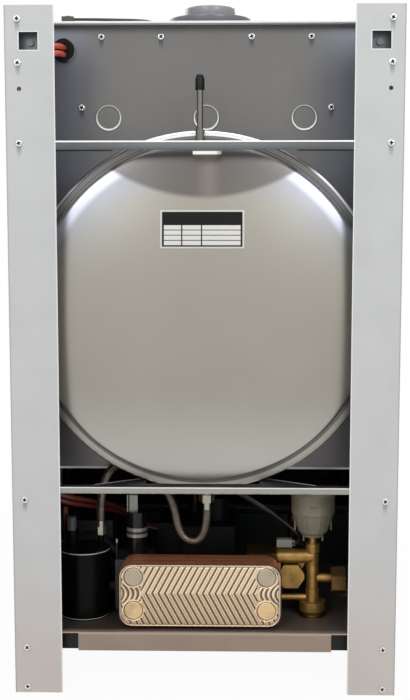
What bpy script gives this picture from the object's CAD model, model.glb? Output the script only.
"""Dressed wall-hung gas boiler: finishes for its CAD parts, and the pieces that need finer form."""
import math

import bmesh
import bpy
import numpy as np
from bpy.props import FloatProperty, FloatVectorProperty, IntProperty, PointerProperty
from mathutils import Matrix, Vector


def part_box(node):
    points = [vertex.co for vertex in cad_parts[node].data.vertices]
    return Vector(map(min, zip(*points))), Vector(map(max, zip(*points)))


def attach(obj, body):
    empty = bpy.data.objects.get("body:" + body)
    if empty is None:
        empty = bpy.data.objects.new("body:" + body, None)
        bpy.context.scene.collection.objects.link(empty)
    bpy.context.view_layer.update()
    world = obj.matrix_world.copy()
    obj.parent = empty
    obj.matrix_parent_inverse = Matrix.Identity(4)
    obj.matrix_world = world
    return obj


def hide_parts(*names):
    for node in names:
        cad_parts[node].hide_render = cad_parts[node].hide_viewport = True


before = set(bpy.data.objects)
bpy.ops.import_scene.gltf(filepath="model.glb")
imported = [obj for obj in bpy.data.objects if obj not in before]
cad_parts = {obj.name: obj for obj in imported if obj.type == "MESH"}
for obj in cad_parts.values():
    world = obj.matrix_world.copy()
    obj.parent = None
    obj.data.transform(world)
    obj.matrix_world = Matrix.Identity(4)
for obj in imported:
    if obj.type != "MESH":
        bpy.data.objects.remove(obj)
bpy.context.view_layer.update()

bl_info = {
    "name": "Wall-hung boiler pieces",
    "version": (1, 0, 0),
    "blender": (4, 5, 0),
    "location": "View3D > Sidebar > Boiler",
    "description": "Builds the finishes and the finer pieces of a wall-hung gas boiler",
    "category": "Object",
}

MM = 0.001
MICRON = 0.000001
EXPONENT_LIMIT = 60.0
SOIL_KEEPS, SOIL_ADDS, SOIL_ROUGHENS = 0.45, 0.12, 0.25

# Places and sizes in metres, used by the finishes.
RAIL_SCREW_HEIGHTS = (0.6965, 0.6535, 0.574, 0.208)
HOOK_WINDOW = (0.176, 0.675)
HOOK_WINDOW_HALF = (0.0095, 0.00875)
KNOCKOUT_PITCH = 0.106
KNOCKOUT_HEIGHT = 0.6084
PLATE_SIZE = (0.086, 0.0389)
PLATE_FOOT = 0.4686
KNOBS_X = (0.030, 0.086)
GAUGE_X = -0.104
CONTROLS_Z = 0.074
FLUE_AXIS = (-0.0035, -0.188, 0.0)
HOSE_RADIUS = 0.0050
BRAID_PITCH = 0.0052
BUNDLE_FLATNESS, UNDER_BUNDLE = 0.7, 0.6
CAP_RIB_DEPTH = 0.055
RECESS_ARM, RECESS_CORE = 0.0021, 0.00125
COVER_GAUGE = 0.0012
COVER_LEAST_CORNER = 0.0006
COVER_FACE_RINGS = (0.03, 0.08, 0.15)

# Places and sizes in millimetres, used by the pieces.
ADAPTER_HALF = 34.0
VESSEL_X, VESSEL_Z = 2.4, 400.5
DISH_CROWN_HALF, DISH_NEAR, DISH_RADIUS, DISH_GAUGE = 168.0, 5.0, 993.63, 1.2
DISH_EDGE_GAUGE = 1.25
PRESSED_MIDDLE, PRESSED_HALF, PRESSED_CORNER = (5.0, 102.0), (86.5, 34.5), 15.0
PRESSED_FACE_Y, PRESSED_BACK_Y = -12.6, -14.2
PORT_ACROSS, PORT_HEIGHTS = 70.5, (20.3, -16.0)
CHEVRON_SLOPE, CHEVRON_BEND = 0.53, 2.6
MOTOR_X, MOTOR_Y = -117.1, -60.0
PLUG_LEVEL = 144.6
COLLAR_RADIUS = 60.3
SCREW_PLACES = (
    [(side * 187.0, 0.0, z) for side in (1, -1) for z in (696.5, 653.5, 574.0, 208.0, 49.4, 6.7)]
    + [(side * x, -93.0, z) for side in (1, -1) for x, z in ((48.8, 694.0), (113.0, 694.0), (135.0, 619.0))]
)
HEAD_RINGS = (0.0, 0.35, 0.7, 1.05, 1.4, 1.75, 2.1, 2.5, 2.9, 3.2, 3.36, 3.4, 3.4, 0.0)
HOSE_ROUTE = [(-1.4, -60, 184), (-1.4, -60, 148.5), (27.5, -61, 148), (36.5, -65, 196), (54, -75, 213),
              (76, -80, 228), (102, -79, 230), (116.6, -75, 204), (116.6, -75, 167.5)]
HEM_SPANS = [((-197.4, 197.4), (-79.0, -77.6), (705.4, 708.0))]
PLUG_SPANS = [((-95, -78), (-74, -64), (140.4, 149.1)), ((-98, -95), (-72.5, -65.5), (142, 147.6)),
              ((-92, -81), (-75, -74), (142.5, 147))]
CLIP_SPANS = [((143, 156), (-106, -94), (708.2, 716.2)), ((145, 154), (-107, -93), (708.2, 711)),
              ((146.5, 152.5), (-104, -96), (716.2, 717))]

# Profiles of the turned pieces: radius, height along the axis and the corner's own radius.
AIR_RING_PROFILE = [(48.0, 710.0), (48.0, 724.2, 0.6), (46.4, 725.0, 0.6), (46.4, 727.0, 0.6),
                    (49.5, 727.0, 2.6), (49.5, 710.0), (48.0, 710.0)]
FLUE_PROFILE = [(28.5, 690.0), (28.5, 736.6, 0.8), (26.2, 738.0, 0.6), (26.2, 740.0, 0.6), (30.0, 740.0, 3.4),
                (30.0, 710.0), (29.4, 710.0), (29.4, 692.0), (ADAPTER_HALF, 692.0), (ADAPTER_HALF, 690.0),
                (28.5, 690.0)]
DISH_SHOULDER = [(177.0, -20.85, 6.5), (177.0, -37.8, 1.0), (187.0, -37.8), (187.0, -39.0), (175.8, -39.0),
                 (175.8, -22.4, 5.3)]
VALVE_CAP_PROFILE = [(0.0, -3.7), (3.35, -3.7), (3.35, -16.0), (4.75, -16.0, 0.5), (4.75, -4.4, 0.5),
                     (4.2, -4.2, 0.2), (4.2, -3.2, 0.2), (3.9, -2.4, 1.0), (3.2, -0.5, 1.4), (0.0, 0.0)]
MOTOR_PROFILE = [(0.0, 180.0), (4.6, 180.0), (4.6, 155.2), (11.4, 155.2, 1.2), (12.6, 158.0, 1.0),
                 (15.8, 161.0, 1.5), (17.0, 165.0, 2.0), (20.4, 174.0, 6.0), (22.4, 181.0, 1.0),
                 (23.6, 182.0, 0.6), (23.6, 203.0, 2.5), (21.0, 206.0, 1.5), (0.0, 206.0)]

# How finely the pieces are drawn.
FLUE_SEGMENTS, DISH_SEGMENTS, DISH_STEPS = 160, 256, 70
FACE_COLUMNS, FACE_ROWS = 480, 190
HOSE_STEP, HOSE_SEGMENTS = 0.0006, 96


def tone(red, green, blue):
    """A screen colour, 0 to 255, as the linear colour that the shaders take."""
    parts = np.array([red, green, blue]) / 255.0
    linear = np.where(parts <= 0.04045, parts / 12.92, ((parts + 0.055) / 1.055) ** 2.4)
    return tuple(float(part) for part in linear)


def colour_property(name, words, red, green, blue):
    """A described colour whose default is a screen colour."""
    return FloatVectorProperty(name=name, description=words, subtype="COLOR", size=3,
                               min=0.0, max=1.0, default=tone(red, green, blue))


def length_property(name, words, amount):
    """A described length whose default is in millimetres."""
    return FloatProperty(name=name, description=words, subtype="DISTANCE", unit="LENGTH",
                         min=0.0, default=amount * MM)


class BoilerColours(bpy.types.PropertyGroup):
    frame_paint: colour_property("Frame paint", "Powder coat of the side panels", 211, 210, 207)
    zinc: colour_property("Zinc", "Galvanised sheet", 150, 150, 150)
    panel_zinc: colour_property("Panel zinc", "Duller galvanised sheet of the back panel", 115, 113, 110)
    lacquer: colour_property("Vessel lacquer", "Satin coat of the expansion vessel", 165, 160, 149)
    tray: colour_property("Tray", "Coated sheet of the bottom tray", 160, 139, 124)
    brass: colour_property("Brass", "Cast and turned brass", 172, 134, 72)
    copper: colour_property("Copper", "Brazed and drawn copper", 164, 96, 66)
    plate_steel: colour_property("Plate steel", "Pressed stainless of the plate exchanger", 240, 214, 176)
    black: colour_property("Black plastic", "Moulded black parts", 30, 29, 28)
    actuator: colour_property("Actuator", "Aged plastic of the diverter's motor", 136, 128, 107)
    silicone: colour_property("Silicone", "Sleeve of the ignition leads", 240, 106, 84)
    cover: colour_property("Cover", "Coated front cover and control panel", 236, 236, 234)


class BoilerSizes(bpy.types.PropertyGroup):
    screw_head: length_property("Screw head", "Radius of a pan head", 3.4)
    screw_rise: length_property("Screw rise", "Height of a pan head", 2.2)
    recess_width: length_property("Recess width", "Width of one arm of the cross recess", 1.15)
    recess_depth: length_property("Recess depth", "Depth of the cross recess", 1.1)
    chevron_pitch: length_property("Chevron pitch", "Distance between two pressed ridges", 6.7)
    chevron_relief: length_property("Chevron relief", "Height of a pressed ridge", 1.3)
    braid_relief: length_property("Braid relief", "Height of the braid's bundles", 0.3)
    braid_bundles: IntProperty(name="Braid bundles", description="Wire bundles round the hose in each hand",
                               min=4, max=24, default=10)
    cap_ribs: IntProperty(name="Cap ribs", description="Grip ribs round the valve cap",
                          min=6, max=40, default=16)
    cover_corner: length_property("Cover corner", "Radius of the front cover's edges", 7.0)


# Surfaces


def add_piece(name, form, body, material=None, node=None):
    """Puts a finished mesh or curve in the scene, riding on a body, with the finish of a slot.

    It takes the place of the CAD part `node` if one is given.
    """
    piece = bpy.data.objects.new(name, form)
    bpy.context.scene.collection.objects.link(piece)
    if material:
        form.materials.append(material)
    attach(piece, body)
    if node:
        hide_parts(node)
    return piece


def close_up(mesh, smooth=True, merge=True):
    """Merges doubled points at seams and poles, where asked, and turns every face outwards."""
    work = bmesh.new()
    work.from_mesh(mesh)
    if merge:
        bmesh.ops.remove_doubles(work, verts=work.verts, dist=1e-6)
        bmesh.ops.dissolve_degenerate(work, edges=work.edges, dist=1e-7)
    bmesh.ops.recalc_face_normals(work, faces=work.faces)
    work.to_mesh(mesh)
    work.free()
    mesh.polygons.foreach_set("use_smooth", np.full(len(mesh.polygons), smooth))
    mesh.update()
    return mesh


def grid_faces(rows, columns, wrap_rows=False, wrap_columns=False, start=0):
    """Quads between neighbouring points of a grid whose points are numbered row by row."""
    down = np.arange(rows if wrap_rows else rows - 1)
    along = np.arange(columns if wrap_columns else columns - 1)
    row, column = (part.ravel() for part in np.meshgrid(down, along, indexing="ij"))
    below = (row + 1) % rows
    after = (column + 1) % columns
    return start + np.stack([row * columns + column, row * columns + after,
                             below * columns + after, below * columns + column], axis=1)


def surface(name, points, wrap_rows=False, wrap_columns=True, smooth=True):
    """A mesh over a grid of points, shape (rows, columns, 3), seams and poles closed."""
    rows, columns, _ = points.shape
    faces = grid_faces(rows, columns, wrap_rows, wrap_columns)
    mesh = bpy.data.meshes.new(name)
    mesh.from_pydata(points.reshape(-1, 3), [], faces.tolist())
    return close_up(mesh, smooth)


def rounded(profile, steps=6):
    """A profile whose points (a, b, radius) are joined by straight lines and round corners.

    At a corner the arc has the given radius, touches both lines, and is walked in equal angles.
    """
    places = []
    for index, point in enumerate(profile):
        here = np.array(point[:2], float)
        radius = point[2] if len(point) > 2 else 0.0
        if not radius or index in (0, len(profile) - 1):
            places.append(here)
            continue
        before = np.array(profile[index - 1][:2], float) - here
        after = np.array(profile[index + 1][:2], float) - here
        coming = before / np.linalg.norm(before)
        going = after / np.linalg.norm(after)
        half = math.acos(np.clip(coming @ going, -1, 1)) / 2
        reach = min(radius / math.tan(half), 0.48 * np.linalg.norm(before), 0.48 * np.linalg.norm(after))
        radius = reach * math.tan(half)
        middle = (coming + going) / np.linalg.norm(coming + going)
        centre = here + middle * radius / math.sin(half)
        start = here + coming * reach - centre
        end = here + going * reach - centre
        share = np.linspace(0, 1, steps + 1)[:, None]
        arc = start * (1 - share) + end * share
        places.extend(centre + radius * arc / np.linalg.norm(arc, axis=1)[:, None])
    return np.array(places)


def lathe(profile, centre, axis, segments=96):
    """Turns a profile of (radius, height) about an axis through centre.

    A point at angle t stands at radius * cos t and radius * sin t across the axis.
    """
    radius, height = profile[:, 0], profile[:, 1]
    angle = np.linspace(0, 2 * math.pi, segments, endpoint=False)
    first = radius[:, None] * np.cos(angle)[None, :]
    second = radius[:, None] * np.sin(angle)[None, :]
    along = np.broadcast_to(height[:, None], first.shape)
    order = {"x": (along, first, second), "y": (first, along, second), "z": (first, second, along)}[axis]
    return np.stack(order, axis=2) + np.array(centre)


def frames_along(path):
    """Unit tangents and two cross directions carried along a path without twist."""
    tangent = np.gradient(path, axis=0)
    tangent /= np.linalg.norm(tangent, axis=1)[:, None]
    side = np.zeros_like(path)
    first = np.cross(tangent[0], (0.0, 0.0, 1.0))
    if np.linalg.norm(first) < 1e-3:
        first = np.array((1.0, 0.0, 0.0))
    side[0] = first / np.linalg.norm(first)
    for index in range(1, len(path)):
        carried = side[index - 1] - tangent[index] * (side[index - 1] @ tangent[index])
        side[index] = carried / np.linalg.norm(carried)
    return tangent, side, np.cross(tangent, side)


def evenly(path, step):
    """The same line with points at equal steps along it."""
    lengths = np.r_[0, np.cumsum(np.linalg.norm(np.diff(path, axis=0), axis=1))]
    places = np.linspace(0, lengths[-1], max(2, int(lengths[-1] / step)))
    return np.stack([np.interp(places, lengths, path[:, axis]) for axis in range(3)], axis=1), places


def route(name, points, radius=0.0):
    """A smooth curve of order 3 with the route's points as its control points."""
    curve = bpy.data.curves.new(name, "CURVE")
    curve.dimensions = "3D"
    curve.resolution_u = 10
    spline = curve.splines.new("NURBS")
    spline.points.add(len(points) - 1)
    places = np.c_[np.array(points, float) * MM, np.ones(len(points))]
    spline.points.foreach_set("co", places.ravel())
    spline.order_u = 3
    spline.use_endpoint_u = True
    curve.bevel_depth = radius
    curve.bevel_resolution = 6
    curve.use_fill_caps = True
    return curve


def points_on(curve):
    """The line of a curve that has no bevel yet, as points in order."""
    helper = bpy.data.objects.new(curve.name + "_line", curve)
    bpy.context.scene.collection.objects.link(helper)
    mesh = bpy.data.meshes.new_from_object(helper)
    line = np.empty(len(mesh.vertices) * 3)
    mesh.vertices.foreach_get("co", line)
    bpy.data.objects.remove(helper)
    bpy.data.meshes.remove(mesh)
    return line.reshape(-1, 3)


def boxes(name, spans, bevel, material, node=None):
    """Blocks with eased edges in one piece, each given by its spans in millimetres."""
    points, faces = [], []
    corners = np.array([(x, y, z) for x in (0, 1) for y in (0, 1) for z in (0, 1)])
    sides = np.array([(0, 1, 3, 2), (4, 6, 7, 5), (0, 4, 5, 1),
                      (2, 3, 7, 6), (0, 2, 6, 4), (1, 5, 7, 3)])
    for index, span in enumerate(spans):
        low, high = np.array(span, float).T
        points.append(low + corners * (high - low))
        faces.append(sides + 8 * index)
    mesh = bpy.data.meshes.new(name)
    mesh.from_pydata(np.concatenate(points) * MM, [], np.concatenate(faces).tolist())
    close_up(mesh, smooth=False)
    ease = add_piece(name, mesh, "casing", material, node).modifiers.new("Eased edges", "BEVEL")
    ease.width = bevel * MM
    ease.segments = 2
    ease.limit_method = "ANGLE"


# Finishes


class Recipe:
    """Adds nodes to one material or shader group and joins them up."""

    def __init__(self, tree):
        self.tree = tree

    def node(self, kind, **settings):
        item = self.tree.nodes.new(kind)
        for name, value in settings.items():
            setattr(item, name, value)
        return item

    def feed(self, socket, value):
        """Joins an output to a socket, or sets the socket to a plain value."""
        if isinstance(value, bpy.types.NodeSocket):
            self.tree.links.new(value, socket)
        elif value is not None:
            socket.default_value = value

    def fill(self, item, **values):
        """Feeds a node's sockets by their names, an underscore for each space."""
        for name, value in values.items():
            self.feed(item.inputs[name.replace("_", " ")], value)
        return item

    def math(self, operation, *values, clamp=False):
        item = self.node("ShaderNodeMath", operation=operation, use_clamp=clamp)
        for socket, value in zip(item.inputs, values):
            self.feed(socket, value)
        return item.outputs[0]

    def fold(self, operation, values):
        """One value from several by an operation between two."""
        whole = values[0]
        for value in values[1:]:
            whole = self.math(operation, whole, value)
        return whole

    def times(self, *values):
        return self.fold("MULTIPLY", values)

    def plus(self, *values):
        return self.fold("ADD", values)

    def most(self, *values):
        return self.fold("MAXIMUM", values)

    def less(self, first, second):
        return self.math("SUBTRACT", first, second)

    def unsigned(self, value):
        return self.math("ABSOLUTE", value)

    def vector(self, operation, first, second=None):
        item = self.node("ShaderNodeVectorMath", operation=operation)
        self.feed(item.inputs[0], first)
        self.feed(item.inputs[1], second)
        return item.outputs["Value" if operation == "DISTANCE" else "Vector"]

    def mix(self, share, first, second):
        item = self.node("ShaderNodeMix", data_type="RGBA")
        self.feed(item.inputs[0], share)
        self.feed(item.inputs[6], opaque(first))
        self.feed(item.inputs[7], opaque(second))
        return item.outputs[2]

    def between(self, value, low, high, to_low, to_high, kind="SMOOTHSTEP"):
        """From to_low where the value is low, to to_high where it is high."""
        item = self.node("ShaderNodeMapRange", interpolation_type=kind)
        for socket, amount in zip(item.inputs, (value, low, high, to_low, to_high)):
            self.feed(socket, amount)
        return item.outputs[0]

    def rise(self, value, low, high, top=1.0):
        """Softly from nought where the value is low, to the top where it is high, in either sense."""
        return self.between(value, low, high, 0.0, top)

    def near(self, value, centre, close, far, top=1.0):
        """The top where the value is close to the centre, nought where it is far from it."""
        return self.rise(self.unsigned(self.less(value, centre)), far, close, top)

    def spot(self, value, low, high, soft):
        """One between two values and nought outside them, with soft ends."""
        return self.times(self.rise(value, low - soft, low + soft),
                          self.rise(value, high + soft, high - soft))

    def noise(self, where, scale, detail=2.0, roughness=0.5):
        item = self.node("ShaderNodeTexNoise")
        return self.fill(item, Vector=where, Scale=scale, Detail=detail, Roughness=roughness).outputs["Fac"]

    def stretch(self, where, scale):
        return self.fill(self.node("ShaderNodeMapping"), Vector=where, Scale=scale).outputs[0]

    def split(self, where):
        item = self.node("ShaderNodeSeparateXYZ")
        self.feed(item.inputs[0], where)
        return item.outputs

    def here(self):
        return self.node("ShaderNodeTexCoord").outputs["Object"]

    def bump(self, height, depth, normal=None):
        return self.fill(self.node("ShaderNodeBump"), Distance=depth, Height=height, Normal=normal).outputs[0]


class Coat(Recipe):
    """The recipe of a finish: where a point lies, and its colour, roughness and normal so far."""

    def __init__(self, tree):
        super().__init__(tree)
        self.where = self.here()
        self.x, self.y, self.z = self.split(self.where)
        self.across = self.unsigned(self.x)

    def paint(self, share, red, green, blue):
        """Lays a screen colour over a share of what is there."""
        self.base = self.mix(share, self.base, tone(red, green, blue))

    def shown(self, name):
        """The value that a mesh carries under a name."""
        return self.node("ShaderNodeAttribute", attribute_name=name).outputs["Fac"]

    def round_axis(self, x, z):
        """Distance from the line along Y through x and z."""
        return self.vector("DISTANCE", self.vector("MULTIPLY", self.where, (1.0, 0.0, 1.0)), (x, 0.0, z))

    def polar(self, x, z):
        """Distance from the line along Y through x and z, and the angle about it from straight up."""
        return self.round_axis(x, z), self.math("ARCTAN2", self.less(self.x, x), self.less(self.z, z))

    def ticks(self, angle, step, close, far):
        """Marks at each multiple of a step, their half width given as a part of the step."""
        turn = self.math("FRACT", self.plus(self.math("DIVIDE", angle, step), 0.5))
        return self.near(turn, 0.5, close, far)


def opaque(value):
    """A three-part colour with its alpha; sockets pass through."""
    return (*value, 1.0) if isinstance(value, tuple) and len(value) == 3 else value


def grain_effect(recipe, where, size):
    """Fine even pimples, as of powder coat or moulded plastic, with slow clouds of tone."""
    fine = recipe.noise(where, recipe.times(size, 1400.0))
    slow = recipe.noise(where, recipe.times(size, 18.0), 3.0)
    return recipe.rise(slow, 0.35, 0.7), fine


def spangle_effect(recipe, where, size):
    """Flat zinc crystals a few millimetres wide, each with its own tone, over fine streaks."""
    wander = recipe.noise(where, 90.0).node.outputs["Color"]
    moved = recipe.vector("ADD", where, recipe.vector("MULTIPLY", wander, (0.004, 0.004, 0.004)))
    cells = recipe.fill(recipe.node("ShaderNodeTexVoronoi", feature="F1"), Vector=moved,
                        Scale=recipe.times(size, 170.0)).outputs
    clouds = recipe.noise(where, recipe.times(size, 12.0), 4.0, 0.6)
    tone_of_cell = recipe.times(recipe.split(cells["Color"])[0], 0.45)
    return recipe.plus(tone_of_cell, recipe.rise(clouds, 0.3, 0.75, 0.55)), cells["Distance"]


def sheet_effect(recipe, where, size):
    """Rolled sheet: a fine even sparkle with faint flat clouds and hardly any direction."""
    fine = recipe.noise(recipe.stretch(where, (700.0, 700.0, 420.0)), size, 2.0, 0.6)
    clouds = recipe.noise(where, recipe.times(size, 14.0), 3.0, 0.55)
    return recipe.plus(recipe.rise(fine, 0.3, 0.7, 0.5), recipe.rise(clouds, 0.3, 0.7, 0.5)), fine


def brushed_effect(recipe, where, size):
    """Long thin streaks along Z, as of rolled or brushed sheet, with cloudy tone."""
    streaks = recipe.noise(recipe.stretch(where, (900.0, 900.0, 14.0)), size, 3.0, 0.6)
    clouds = recipe.noise(recipe.stretch(where, (16.0, 16.0, 5.0)), size, 3.0)
    return recipe.plus(recipe.rise(streaks, 0.3, 0.7, 0.6), recipe.rise(clouds, 0.3, 0.7, 0.4)), streaks


def cast_effect(recipe, where, size):
    """Rough sand-cast skin: lumps, pits and darker hollows."""
    lumps = recipe.noise(where, recipe.times(size, 520.0), 5.0, 0.65)
    stain = recipe.noise(where, recipe.times(size, 60.0), 4.0, 0.6)
    return recipe.rise(stain, 0.32, 0.72), lumps


def grime_effect(recipe, where, size):
    """Faint settled dust and handling marks: sparse soft patches broken by fine specks."""
    patches = recipe.rise(recipe.noise(where, recipe.times(size, 9.0), 5.0, 0.62), 0.52, 0.78)
    specks = recipe.rise(recipe.noise(where, recipe.times(size, 240.0), 3.0), 0.35, 0.75)
    return recipe.times(patches, specks), patches


EFFECTS = {"grain": grain_effect, "spangle": spangle_effect, "sheet": sheet_effect,
           "brushed": brushed_effect, "cast": cast_effect, "grime": grime_effect}


def effect_group(effect):
    """The shader group of an effect, with Vector and Size in, and Tint and Height out."""
    name = "Boiler " + effect
    if name in bpy.data.node_groups:
        return bpy.data.node_groups[name]
    tree = bpy.data.node_groups.new(name, "ShaderNodeTree")
    tree.interface.new_socket("Vector", in_out="INPUT", socket_type="NodeSocketVector")
    tree.interface.new_socket("Size", in_out="INPUT", socket_type="NodeSocketFloat").default_value = 1.0
    for output in ("Tint", "Height"):
        tree.interface.new_socket(output, in_out="OUTPUT", socket_type="NodeSocketFloat")
    recipe = Recipe(tree)
    inputs = recipe.node("NodeGroupInput").outputs
    tint, height = EFFECTS[effect](recipe, inputs["Vector"], inputs["Size"])
    recipe.fill(recipe.node("NodeGroupOutput"), Tint=tint, Height=height)
    return tree


def finish(name, colour, effect="grain", relief=30, roughness=(0.4, 0.5), metallic=0.0, dark=0.8, grime=0.15,
           overlay=None, size=1.0, **sockets):
    """A material whose colour turns darker by an effect, with faint grime.

    The colour is a property's name or a screen colour, the relief is in micrometres, and the
    overlay may change what the coat holds before it is joined to the shader.
    """
    material = bpy.data.materials.new(name)
    material.use_nodes = True
    coat = Coat(material.node_tree)
    if isinstance(colour, str):
        clean = tuple(getattr(bpy.context.scene.boiler_colours, colour))
    else:
        clean = tone(*colour)
    skin, soil = (coat.fill(coat.node("ShaderNodeGroup", node_tree=effect_group(kind)), Vector=coat.where,
                            Size=scale).outputs for kind, scale in ((effect, size), ("grime", 1.0)))
    soiled = coat.times(soil["Tint"], grime)
    coat.base = coat.mix(skin["Tint"], clean, tuple(part * dark for part in clean))
    coat.base = coat.mix(soiled, coat.base, tuple(SOIL_KEEPS * part + SOIL_ADDS for part in clean))
    coat.rough = coat.math("ADD", coat.between(skin["Tint"], 0.0, 1.0, *roughness, kind="LINEAR"),
                           coat.times(soiled, SOIL_ROUGHENS), clamp=True)
    coat.normal = coat.bump(skin["Height"], relief * MICRON)
    coat.metallic = metallic
    if overlay:
        overlay(coat)
    coat.fill(material.node_tree.nodes["Principled BSDF"], Base_Color=coat.base, Roughness=coat.rough,
              Normal=coat.normal, Metallic=coat.metallic, **sockets)
    return material


def dress(material, nodes):
    """Gives CAD parts a finish in every slot they have."""
    for node in nodes.split():
        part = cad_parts[node]
        if not part.material_slots:
            part.data.materials.append(material)
        for place in part.material_slots:
            place.material = material


def sizes():
    """The scene's boiler sizes."""
    return bpy.context.scene.boiler_sizes


def screw_streak(coat, heights, reach):
    """One just below each screw's height, fading out downwards over the reach."""
    return coat.most(*[coat.times(coat.rise(coat.z, top + 0.0008, top), coat.rise(coat.z, top - reach, top))
                       for top in (height - 0.0030 for height in heights)])


def rail_overlay(coat):
    """Paint that turns warmer towards the foot, with a bright inner edge, a duller outer edge, a rim
    of bare metal round the hook window and a soft streak of dirt below each screw."""
    coat.paint(coat.rise(coat.z, 0.17, 0.02, 0.85), 210, 198, 189)
    coat.paint(coat.rise(coat.across, 0.1513, 0.1508, 0.9), 250, 250, 248)
    coat.paint(coat.rise(coat.across, 0.1984, 0.1990, 0.5), 150, 148, 148)
    aside = coat.unsigned(coat.less(coat.across, HOOK_WINDOW[0]))
    above = coat.unsigned(coat.less(coat.z, HOOK_WINDOW[1]))
    gap = coat.most(coat.less(aside, HOOK_WINDOW_HALF[0]), coat.less(above, HOOK_WINDOW_HALF[1]))
    coat.paint(coat.rise(gap, 0.0011, 0.0006, 0.95), 250, 250, 250)
    streak = screw_streak(coat, RAIL_SCREW_HEIGHTS, 0.013)
    coat.paint(coat.times(streak, coat.spot(coat.across, 0.1846, 0.1890, 0.0009), 0.6), 118, 117, 118)


def panel_sheet_overlay(coat):
    """Bluish duller zinc beside the side panels and low down, bright bare edges at top and bottom,
    streaks below the screws, and three pressed knock-out rings, brightest at their foot."""
    coat.paint(coat.rise(coat.across, 0.105, 0.158, 0.85), 124, 127, 136)
    coat.paint(coat.rise(coat.z, 0.59, 0.50, 0.75), 118, 120, 126)
    coat.paint(coat.rise(coat.z, 0.40, 0.26, 0.6), 118, 112, 108)
    for height, places in ((0.694, (0.0488, 0.113)), (0.619, (0.135,))):
        beside = coat.most(*[coat.near(coat.across, place, 0.0014, 0.0034, 0.75) for place in places])
        coat.paint(coat.times(screw_streak(coat, (height,), 0.012), beside), 62, 62, 64)
    turned = coat.most(coat.rise(coat.z, 0.7064, 0.7068), coat.rise(coat.z, 0.2245, 0.2241))
    coat.paint(turned, 252, 251, 248)
    coat.metallic = coat.between(turned, 0.0, 1.0, coat.metallic, 0.0, kind="LINEAR")
    ring = coat.most(*[coat.near(coat.round_axis(centre, KNOCKOUT_HEIGHT), 0.0130, 0.0005, 0.0016)
                       for centre in (-KNOCKOUT_PITCH, 0.0, KNOCKOUT_PITCH)])
    coat.paint(coat.times(ring, coat.between(coat.z, 0.6180, 0.5980, 0.42, 1.0)), 246, 245, 240)
    coat.normal = coat.bump(ring, 0.0009, coat.normal)


def upper_bracket_overlay(coat):
    """Bright cut edge along the top of the upper bracket's flange, duller zinc under it, and the
    strap's pale underside."""
    coat.paint(coat.rise(coat.across, 0.150, 0.040, 0.6), 134, 137, 136)
    coat.paint(coat.rise(coat.z, 0.5735, 0.5660, 0.75), 70, 72, 74)
    strap = coat.times(coat.rise(coat.z, 0.5665, 0.5660), coat.between(coat.across, 0.017, 0.010, 0.3, 1.0))
    coat.paint(strap, 238, 236, 230)
    coat.paint(coat.rise(coat.z, 0.5750, 0.5755), 253, 253, 252)


def lower_bracket_overlay(coat):
    """Pale front of the lower bracket's flange with a bright upper edge; its shelf behind stays dark,
    with a bright line along its slanting cut."""
    shelf = coat.rise(coat.y, -0.0028, -0.0034)
    coat.paint(coat.rise(coat.z, 0.2203, 0.2207), 252, 251, 246)
    coat.paint(shelf, 36, 36, 38)
    slant = coat.times(coat.less(coat.across, 0.116), 0.6458)
    gap = coat.less(coat.y, coat.less(slant, 0.015))
    cut = coat.times(coat.rise(gap, 0.0028, 0.0016), coat.spot(coat.across, 0.064, 0.116, 0.001))
    coat.paint(coat.times(cut, shelf), 250, 250, 246)
    patchy = coat.rise(coat.noise(coat.where, 160.0, 3.0), 0.45, 0.6)
    coat.paint(coat.times(coat.rise(coat.z, 0.2164, 0.2148, 0.6), patchy), 96, 92, 84)


def grommet_overlay(coat):
    """Rubber with a worn bright edge on its inner side, and black within the lip."""
    away = coat.round_axis(0.1534, 0.6797)
    coat.paint(coat.rise(away, 0.0084, 0.0078), 8, 7, 7)
    edge = coat.times(coat.rise(away, 0.0117, 0.0120, 0.8), coat.rise(coat.x, 0.152, 0.146))
    coat.paint(edge, 170, 170, 172)


def dish_overlay(coat):
    """Dark dirt in the throat beside the clamp ring, a darker lobe above with a paler middle, bluish
    shoulders with a bright crest, and a paler foot."""
    away = coat.round_axis(VESSEL_X * MM, VESSEL_Z * MM)
    coat.paint(coat.rise(away, 0.1748, 0.1764, 0.88), 34, 33, 32)
    coat.paint(coat.times(coat.rise(away, 0.115, 0.170, 0.85), coat.rise(coat.z, 0.44, 0.50)), 148, 149, 156)
    coat.paint(coat.times(coat.rise(away, 0.160, 0.168, 0.7), coat.rise(coat.z, 0.46, 0.50)), 206, 207, 218)
    lobe_foot = coat.plus(coat.times(coat.x, coat.x, 3.0), 0.520)
    lobe = coat.rise(coat.less(coat.z, lobe_foot), -0.003, 0.004, 0.93)
    coat.paint(lobe, 103, 98, 93)
    coat.paint(coat.times(coat.near(coat.x, -0.004, 0.0, 0.016, 0.3), lobe), 166, 152, 143)
    coat.paint(coat.rise(coat.z, 0.33, 0.24, 0.6), 196, 193, 186)


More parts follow.
